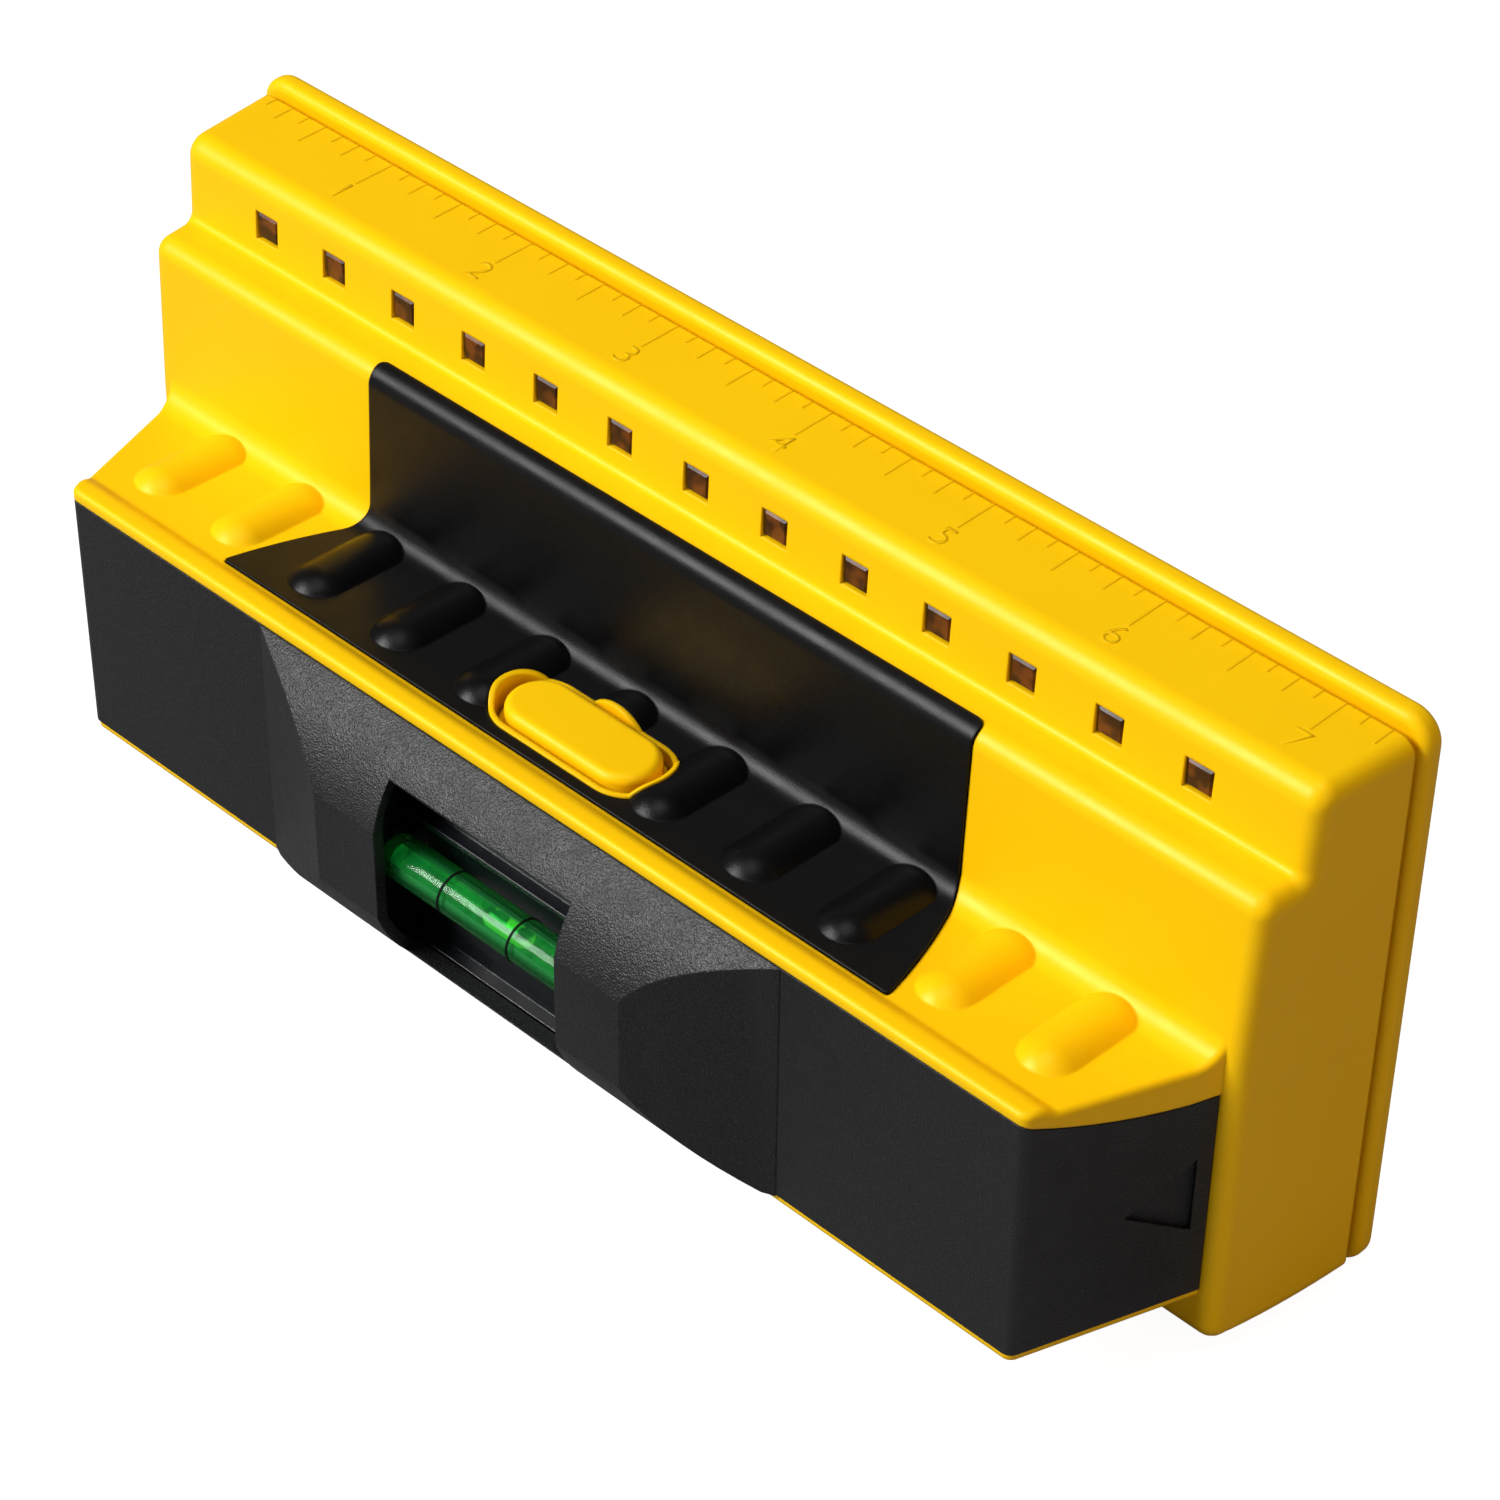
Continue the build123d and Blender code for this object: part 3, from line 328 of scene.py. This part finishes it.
def make_bubble():
    """Air bubble: painted highlight over its lower part and painted yellow glint spots, round a painted
    dark top, with a painted glow.
    """
    material, tree, shader = new_material("bubble_air")
    axes = tree.nodes.new("ShaderNodeSeparateXYZ")
    tree.links.new(tree.nodes.new("ShaderNodeTexCoord").outputs["Generated"], axes.inputs[0])
    # Painted highlight over the lower part of the bubble and painted shade towards its top, set by height
    # in the bubble.
    painted_lower_highlight = remap(tree, axes.outputs["Z"], 0.55, 0.75, 1.0, 0.0)
    # Painted yellow glint spots scattered by noise.
    painted_glint_spots = remap(tree, noise(tree, 420.0, 2.0, 0.5), 0.54, 0.62, 0.0, 1.0)
    colour = mix_colour(tree, larger(tree, painted_lower_highlight, painted_glint_spots), BUBBLE_PAINTED_SHADE, BUBBLE_PAINTED_HIGHLIGHT)
    tree.links.new(colour, shader.inputs["Base Color"])
    tree.links.new(colour, shader.inputs["Emission Color"])
    # Painted glow: the bubble emits, though it is no lamp.
    shader.inputs["Emission Strength"].default_value = 0.45
    vary_roughness(tree, shader, 900.0, 0.02, 0.12)
    shader.inputs["Specular IOR Level"].default_value = 1.0
    return material


def make_lens():
    """Dark brown windows with amber clouds."""
    material, tree, shader = new_material("amber_lens")
    clouds = remap(tree, noise(tree, 420.0, 1.0, 0.5), 0.44, 0.62, 0.0, 1.0)
    tree.links.new(mix_colour(tree, clouds, LENS_BROWN, LENS_AMBER), shader.inputs["Base Color"])
    vary_roughness(tree, shader, 500.0, 0.26, 0.36)
    shader.inputs["Specular IOR Level"].default_value = 0.15
    shader.inputs["Transmission Weight"].default_value = 0.25
    bump(tree, shader, noise(tree, 900.0), 1.0, 0.000006)
    return material


def make_metal(name, colour, roughness):
    """Plated or brushed metal with fine wear."""
    material, tree, shader = new_material(name)
    worn = tuple(0.7 * channel for channel in colour[:3]) + (1.0,)
    tree.links.new(
        mix_colour(tree, remap(tree, noise(tree, 900.0), 0.35, 0.65, 0.0, 1.0), colour, worn),
        shader.inputs["Base Color"],
    )
    vary_roughness(tree, shader, 1400.0, roughness - 0.05, roughness + 0.1)
    shader.inputs["Metallic"].default_value = 1.0
    bump(tree, shader, noise(tree, 3000.0), 0.1, 0.00003)
    return material


def make_board():
    """Green solder mask over glass laminate."""
    material, tree, shader = new_material("solder_mask")
    weave = remap(tree, noise(tree, 300.0), 0.45, 0.55, 0.0, 1.0)
    tree.links.new(mix_colour(tree, weave, MASK_DARK, MASK_LIGHT), shader.inputs["Base Color"])
    vary_roughness(tree, shader, 800.0, 0.25, 0.35)
    bump(tree, shader, noise(tree, 2500.0), 0.2, 0.00003)
    return material


def small_part(name, colour, worn, roughness, grain=2500.0, specular=0.5):
    """Plain moulded or coated finish of an inner part."""
    return moulded_plastic(
        name, (*colour, 1.0), (*worn, 1.0), roughness, grain, 0.000006, specular=specular
    )


yellow = make_yellow()
black = make_black()
black_grain = make_black_grain()
black_gloss = make_gloss_black()
board = make_board()
steel = make_metal("screw_steel", (0.55, 0.55, 0.56, 1.0), 0.35)
nickel = make_metal("nickel_plate", (0.7, 0.69, 0.66, 1.0), 0.25)
copper = make_metal("pad_copper", (0.75, 0.38, 0.18, 1.0), 0.35)
amber = make_lens()
vial_wall = make_shell("vial_acrylic", (0.80, 1.0, 0.85, 1.0), 0.10)
plug_plastic = make_clear("vial_plug_plastic", (0.30, 0.60, 0.35, 1.0), 0.15, 1.49, 0.6)
green_spirit = make_spirit()
bubble_air = make_bubble()
white_epoxy = small_part("led_epoxy", (0.70, 0.62, 0.45), (0.80, 0.75, 0.60), 0.30)
chip_epoxy = small_part("chip_epoxy", (0.012, 0.012, 0.013), (0.03, 0.03, 0.03), 0.60)
red_rubber = small_part("red_lead", (0.45, 0.01, 0.01), (0.50, 0.03, 0.03), 0.50)
black_rubber = small_part("black_lead", (0.010, 0.010, 0.011), (0.03, 0.03, 0.03), 0.50)
ring_ink = small_part("ring_ink", (0.002, 0.003, 0.002), (0.006, 0.008, 0.006), 0.60, specular=0.05)
jacket = small_part("cell_jacket", (0.010, 0.011, 0.013), (0.04, 0.04, 0.04), 0.22, 800.0)

FINISHES = {
    "front_housing": yellow,
    "sensor_plate": yellow,
    "power_button": yellow,
    "grip_panel": black,
    "battery_cover": black_grain,
    "vial_cradle": black_gloss,
    "lens_strip": amber,
    "indicator_leds": white_epoxy,
    "circuit_board": board,
    "switch_board": board,
    "sensor_electrodes": copper,
    "microcontroller": chip_epoxy,
    "signal_chips": chip_epoxy,
    "capacitors": nickel,
    "board_screws": steel,
    "case_screws": steel,
    "switch_screws": steel,
    "battery_cell_left": nickel,
    "battery_cell_right": nickel,
    "battery_sleeve_left": jacket,
    "battery_sleeve_right": jacket,
    "contact_spring": nickel,
    "contact_plate": nickel,
    "lead_red": red_rubber,
    "switch_leads": red_rubber,
    "lead_black": black_rubber,
    "switch_housing": chip_epoxy,
    "switch_plunger": chip_epoxy,
    "vial_tube": vial_wall,
    "vial_plug": plug_plastic,
    "vial_liquid": green_spirit,
    "vial_bubble": bubble_air,
    "vial_rings": ring_ink,
}

for node_name, finish in FINISHES.items():
    node = nodes[node_name]
    for index in range(len(node.data.materials)):
        node.material_slots[index].material = finish


# ---------------------------------------------------------------- vial liquid

def make_liquid():
    """Full column of liquid, in place of the CAD column with its cut channel for the bubble."""
    low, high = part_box("vial_liquid")
    tube_low, tube_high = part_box("vial_tube")
    axis = (tube_low + tube_high) / 2
    radius = (high.y - low.y) / 2
    # Place along the vial and share of the radius, from one rounded end to the other.
    profile = (
        (low.x, 0.0),
        (low.x, 0.80),
        (low.x + 0.15 * radius, 0.95),
        (low.x + 0.45 * radius, 1.0),
        (high.x - 0.15 * radius, 1.0),
        (high.x, 0.90),
        (high.x, 0.0),
    )
    shape = bmesh.new()
    points = [shape.verts.new((x, 0.0, share * radius)) for x, share in profile]
    edges = [shape.edges.new(pair) for pair in zip(points, points[1:])]
    bmesh.ops.spin(
        shape,
        geom=points + edges,
        cent=(0.0, 0.0, 0.0),
        axis=(1.0, 0.0, 0.0),
        angle=2 * math.pi,
        steps=LIQUID_STEPS,
    )
    bmesh.ops.remove_doubles(shape, verts=shape.verts, dist=MERGE_DISTANCE)
    bmesh.ops.recalc_face_normals(shape, faces=shape.faces)
    mesh = bpy.data.meshes.new("liquid_column")
    shape.to_mesh(mesh)
    shape.free()
    mesh.shade_smooth()
    mesh.materials.append(green_spirit)
    liquid = bpy.data.objects.new("liquid_column", mesh)
    liquid.location = (0.0, axis.y, axis.z)
    bpy.context.collection.objects.link(liquid)
    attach(liquid, "cover")
    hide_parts("vial_liquid")


make_liquid()

# ---------------------------------------------------------------- ruler digits

def make_digit(number):
    """One raised digit, its top towards the sensor plate."""
    text = bpy.data.curves.new(f"digit_{number}", "FONT")
    text.body = str(number)
    text.align_x = "CENTER"
    text.align_y = "CENTER"
    text.size = DIGIT_HEIGHT / DIGIT_SHARE
    text.extrude = DIGIT_RELIEF
    text.bevel_depth = DIGIT_RELIEF / 2
    text.offset = -DIGIT_RELIEF
    text.materials.append(yellow)
    digit = bpy.data.objects.new(f"digit_{number}", text)
    digit.location = (SCALE_START_X + number * INCH, DIGIT_Y, RULER_Z)
    bpy.context.collection.objects.link(digit)
    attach(digit, "housing")


for number in range(1, 8):
    make_digit(number)


# ---------------------------------------------------------------- stage, light and camera

def camera_only(tree, seen, unseen):
    """A strength with one value for what is seen directly and another as a light source."""
    rays = tree.nodes.new("ShaderNodeLightPath")
    return remap(tree, rays.outputs["Is Camera Ray"], 0.0, 1.0, unseen, seen)


def make_floor():
    """Wide pale floor under the tool, lit enough to be white without lighting the tool."""
    low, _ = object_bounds()
    bpy.ops.mesh.primitive_plane_add(size=FLOOR_SIZE, location=(0.0, 0.0, low.z - FLOOR_GAP))
    floor = bpy.context.object
    floor.name = "floor"
    material, tree, shader = new_material("pale_floor")
    tree.links.new(
        mix_colour(tree, noise(tree, 8.0), (0.20, 0.20, 0.20, 1.0), (0.21, 0.21, 0.21, 1.0)),
        shader.inputs["Base Color"],
    )
    shader.inputs["Roughness"].default_value = 0.9
    shader.inputs["Specular IOR Level"].default_value = 0.1
    shader.inputs["Emission Color"].default_value = (1.0, 1.0, 1.0, 1.0)
    tree.links.new(camera_only(tree, 0.95, 0.0), shader.inputs["Emission Strength"])
    floor.data.materials.append(material)


def area_light(name, azimuth, elevation, distance, size, power, colour=(1.0, 1.0, 1.0), glossy=True):
    """Square soft light that faces the tool from an azimuth and elevation in degrees.

    One that isn't glossy lights surfaces, but doesn't show in their reflections.
    """
    light = bpy.data.lights.new(name, "AREA")
    light.shape = "SQUARE"
    light.size = size
    light.energy = power
    light.color = colour
    lamp = bpy.data.objects.new(name, light)
    turn, rise = math.radians(azimuth), math.radians(elevation)
    direction = Vector((math.sin(turn) * math.cos(rise), -math.cos(turn) * math.cos(rise), math.sin(rise)))
    lamp.location = direction * distance
    lamp.rotation_mode = "QUATERNION"
    lamp.rotation_quaternion = direction.to_track_quat("Z", "Y")
    lamp.visible_glossy = glossy
    bpy.context.collection.objects.link(lamp)


def make_world():
    """Even pale surroundings."""
    world = bpy.data.worlds.new("studio")
    bpy.context.scene.world = world
    world.use_nodes = True
    tree = world.node_tree
    background = tree.nodes["Background"]
    background.inputs["Color"].default_value = (1.0, 1.0, 1.0, 1.0)
    tree.links.new(camera_only(tree, 1.0, 0.08), background.inputs["Strength"])


def make_camera():
    """Camera at the photograph's viewing angle."""
    turn, rise, roll = map(math.radians, (CAMERA_AZIMUTH, CAMERA_ELEVATION, CAMERA_ROLL))
    back = Vector((math.sin(turn) * math.cos(rise), -math.cos(turn) * math.cos(rise), math.sin(rise)))
    right = Vector((math.cos(turn), math.sin(turn), 0.0))
    up = back.cross(right)
    axes = Matrix((right, up, back)).transposed()
    data = bpy.data.cameras.new("camera")
    data.lens = CAMERA_LENS
    data.sensor_width = 36.0
    data.clip_start = 0.01
    data.clip_end = 50.0
    camera = bpy.data.objects.new("camera", data)
    camera.rotation_mode = "QUATERNION"
    camera.rotation_quaternion = (axes @ Matrix.Rotation(roll, 3, "Z")).to_quaternion()
    camera.location = CAMERA_POSITION
    bpy.context.collection.objects.link(camera)
    bpy.context.scene.camera = camera


make_floor()
make_world()
area_light("key", azimuth=-32.0, elevation=36.0, distance=1.6, size=0.8, power=33.0)
area_light("fill", 80.0, 25.0, distance=2.0, size=1.2, power=11.0, colour=WARM_LIGHT, glossy=False)
area_light("top", azimuth=0.0, elevation=80.0, distance=1.6, size=0.8, power=5.0)
area_light("back", azimuth=190.0, elevation=8.0, distance=2.2, size=1.2, power=12.0, glossy=False)
make_camera()

scene = bpy.context.scene
scene.view_settings.view_transform = "Standard"
scene.view_settings.look = "None"
scene.view_settings.exposure = 0.0
